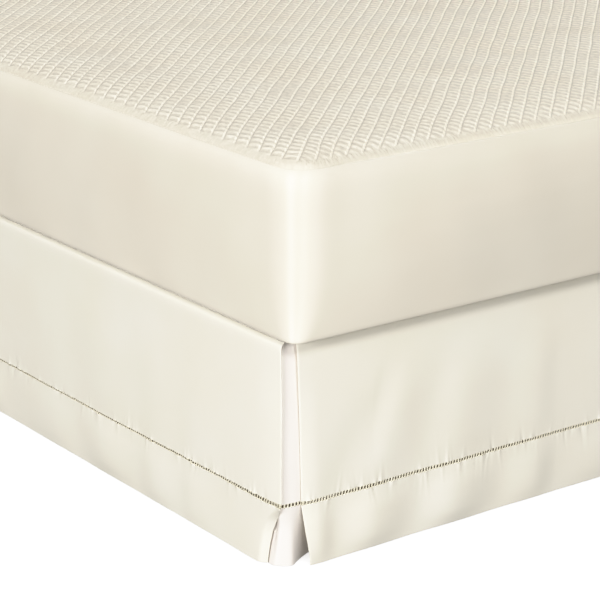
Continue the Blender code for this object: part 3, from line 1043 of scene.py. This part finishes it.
def quilt_painted_light(tree, place, ribs, inner, gathers):
    """Painted brightness of the cloth: a pale line beside each line's crease, partly pale sewing
    thread and partly painted highlight, painted shade in the crease, painted light and shade on
    the ribs and fine creases, and painted shade on the seam band and its gathers."""
    stops = [(row["at"], [row["shade"]] * 3) for row in SEWN_SHADES]
    # painted light on rib crests and painted shade between them
    painted_rib_light = maths(tree, "MULTIPLY_ADD", ribs, RIB_SHADE, 1.0)
    shade = maths(tree, "MULTIPLY", colour_ramp(tree, place, stops), painted_rib_light)
    _, _, cloth = uv_parts(tree, "cloth")
    flecks = noise_of(tree, stretched(tree, cloth, FLECKS), 1.0)
    flecks = maths(tree, "MULTIPLY_ADD", flecks, FLECK_SHADE, 1 - FLECK_SHADE / 2)
    shade = maths(tree, "MULTIPLY", shade, flecks)
    # painted shade on the seam band, with painted light and shade on its gathers
    rim = maths(tree, "MULTIPLY_ADD", gathers, RIM_GATHER_SHADE, RIM_SHADE - RIM_GATHER_SHADE / 2)
    plain = maths(tree, "MULTIPLY", maths(tree, "SUBTRACT", 1.0, inner), rim)
    return maths(tree, "MULTIPLY_ADD", shade, inner, plain)


def quilted_cotton():
    material, tree, shader = new_material("quilted_cotton", 0.70, 0.20, 0.04)
    _, _, cloth = uv_parts(tree, "cloth")
    base = drifting(tree, "quilted_cotton", noise_of(tree, cloth, 7.0, 3.0))
    pattern = quilt_pattern(tree)
    # the base colour scaled by painted light and shade
    sockets = {0: base, "Scale": quilt_painted_light(tree, *pattern)}
    painted_base = add_node(tree, "VectorMath", sockets, operation="SCALE")
    normal = bump(tree, quilt_relief(tree, *pattern), MILLIMETRE)
    plug(tree, shader, {"Base Color": painted_base.outputs["Vector"], "Normal": normal})
    return material


def plain_weave(name, roughness):
    """Matt woven cloth of the threads and of the parts that hardly show."""
    material, tree, shader = new_material(name, roughness, 0.25, 0.05)
    place = object_coordinates(tree)
    plug(tree, shader, {
        "Base Color": drifting(tree, name, noise_of(tree, place, 40.0, 4.0)),
        "Normal": bump(tree, noise_of(tree, place, 900.0), FIBRE_RELIEF)})
    return material


def wood():
    material, tree, shader = new_material("sawn_pine", 0.55, 0.35, 0.0)
    place = object_coordinates(tree)
    grain = wave_of(tree, stretched(tree, place, (6, 0.8, 6)), 3.0, "X", 6.0)
    fibres = noise_of(tree, stretched(tree, place, (60, 3, 60)), 2.0, 4.0)
    mixed = maths(tree, "MULTIPLY_ADD", grain, 0.6, fibres)
    plug(tree, shader, {
        "Base Color": drifting(tree, "sawn_pine", mixed, (0.3, 1.0)),
        "Normal": bump(tree, fibres, FIBRE_RELIEF)})
    return material


# -------- stage

def add_light(name, aim, around, above, away, wide, tall, power):
    lamp = bpy.data.lights.new(name, "AREA")
    lamp.shape = "RECTANGLE"
    lamp.size = wide
    lamp.size_y = tall
    lamp.energy = power
    light = add_object(name, lamp)
    turn, tilt = radians(around), radians(above)
    direction = Vector((-cos(tilt) * cos(turn), -cos(tilt) * sin(turn),
                        sin(tilt)))
    light.location = Vector(aim) + away * direction
    light.rotation_euler = direction.to_track_quat("Z", "Y").to_euler()
    light.visible_camera = False


def floor_material(name, glow):
    material, tree, shader = new_material(name, 0.9, 0.1, 0.0)
    plug(tree, shader, {
        "Base Color": FLOOR_COLOUR, "Emission Color": (1, 1, 1, 1), "Emission Strength": glow})
    return material


def add_floor():
    """A square floor; its middle cell, out of sight under the bed, doesn't glow."""
    reach = FLOOR_SIZE / 2
    half_x = FALL_X - UNDER_INSET
    columns = (-reach, -half_x, half_x, reach)
    rows = (reach, SPRING_HEAD - UNDER_INSET, FALL_Y + UNDER_INSET, -reach)
    floor = add_piece("floor", [(x, y, 0.0) for y in rows for x in columns], grid_faces(4, 4))
    floor.data.materials.append(floor_material("pale_floor", FLOOR_GLOW))
    floor.data.materials.append(floor_material("pale_floor_in_shade", 0.0))
    floor.data.polygons[4].material_index = 1
    floor.visible_diffuse = False
    floor.visible_glossy = False


def add_tone_curve(view):
    """The plain view transform, with a soft shoulder that keeps white from clipping hard."""
    view.view_transform = "Standard"
    view.use_curve_mapping = True
    mapping = view.curve_mapping
    mapping.white_level = (TONE_WHITE, TONE_WHITE, TONE_WHITE)
    places = [(light / TONE_WHITE, shown) for light, shown in TONE_CURVE]
    points = mapping.curves[3].points
    points[0].location = places[0]
    points[1].location = places[-1]
    for place in places[1:-1]:
        points.new(*place)
    points[0].handle_type = points[1].handle_type = "VECTOR"
    mapping.update()


def add_stage():
    add_floor()
    world = bpy.data.worlds.new("studio")
    bpy.context.scene.world = world
    world.use_nodes = True
    plug(world.node_tree, world.node_tree.nodes["Background"],
         {"Color": (*WORLD_TINT, 1), "Strength": WORLD_STRENGTH})
    add_tone_curve(bpy.context.scene.view_settings)
    for light in LIGHTS:
        add_light(**light)


def add_camera():
    lens = bpy.data.cameras.new("camera")
    lens.lens = CAMERA_LENS
    lens.sensor_width = CAMERA_SENSOR
    camera = add_object("camera", lens)
    camera.location = CAMERA_PLACE
    camera.rotation_euler = (CAMERA_PITCH, 0.0, CAMERA_HEADING)
    bpy.context.scene.camera = camera


# -------- the object

def hang_panel(panel, node, cloth, thread):
    """One hanging panel with its drawn threads."""
    piece = hanging_panel(panel)
    if panel.side < 0:
        piece.data.flip_normals()
    thicken(piece, HEM_CLOTH, CLOTH / HEM_CLOTH, "hem")
    finish_piece(piece, cloth, "skirt_sateen", node)
    threads = panel_threads(panel)
    finish_piece(threads, thread, "skirt_sateen")


def hang_insert(label, side, cloth, thread):
    """The pleat piece of one corner with its drawn threads."""
    piece = corner_insert(f"corner_insert_cloth_{label}", side)
    if side > 0:
        piece.data.flip_normals()
    thicken(piece, CLOTH)
    finish_piece(piece, cloth, "skirt_sateen", f"corner_insert_{label}")
    threads = insert_threads(f"insert_drawn_threads_{label}", side)
    finish_piece(threads, thread, "skirt_sateen")


def hang_skirt():
    cloth = sateen("skirt_sateen", 0.48, 0.35)
    # lighter copy of the skirt sateen with more gloss for the corner inserts: its lighter colour
    # is painted light
    insert_cloth_painted_light = sateen("skirt_sateen_insert_painted_light", 0.45, 0.55)
    thread = plain_weave("drawn_thread", 0.7)
    length = SPRING_HEAD - FALL_Y
    left = Panel("left", -1, "side", 1, length, HEM_TUCK)
    right = Panel("right", 1, "side", 1, length, HEM_TUCK)
    foot = Panel("foot", 0, "foot", 2, 2 * FALL_X, 0.0)
    hang_panel(left, "side_panel_left", cloth, thread)
    hang_panel(right, "side_panel_right", cloth, thread)
    hang_panel(foot, "foot_panel", cloth, thread)
    hang_insert("left", -1, insert_cloth_painted_light, thread)
    hang_insert("right", 1, insert_cloth_painted_light, thread)


def dress_bed():
    """The deck, the mattress in its quilted cover, the box spring and the wooden frame."""
    deck = deck_sheet()
    thicken(deck, DECK_CLOTH - 0.0002)
    finish_piece(deck, plain_weave("deck_muslin", 0.85), "deck_cloth", "deck")
    finish_piece(box_spring_cover(), plain_weave("spring_ticking", 0.8), "spring_cover",
                 "box_spring")

    sides = mattress_sides()
    finish_piece(sides, sateen("mattress_sateen", 0.52, 0.42, 0.5), "mattress_cover", "mattress")
    top = quilted_top()
    finish_piece(top, quilted_cotton(), "mattress_cover")

    timber = wood()
    for name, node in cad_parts.items():
        if name.startswith(("rail_", "slat_", "leg_")):
            node.data.materials.clear()
            node.data.materials.append(timber)


add_camera()
add_stage()
dress_bed()
hang_skirt()
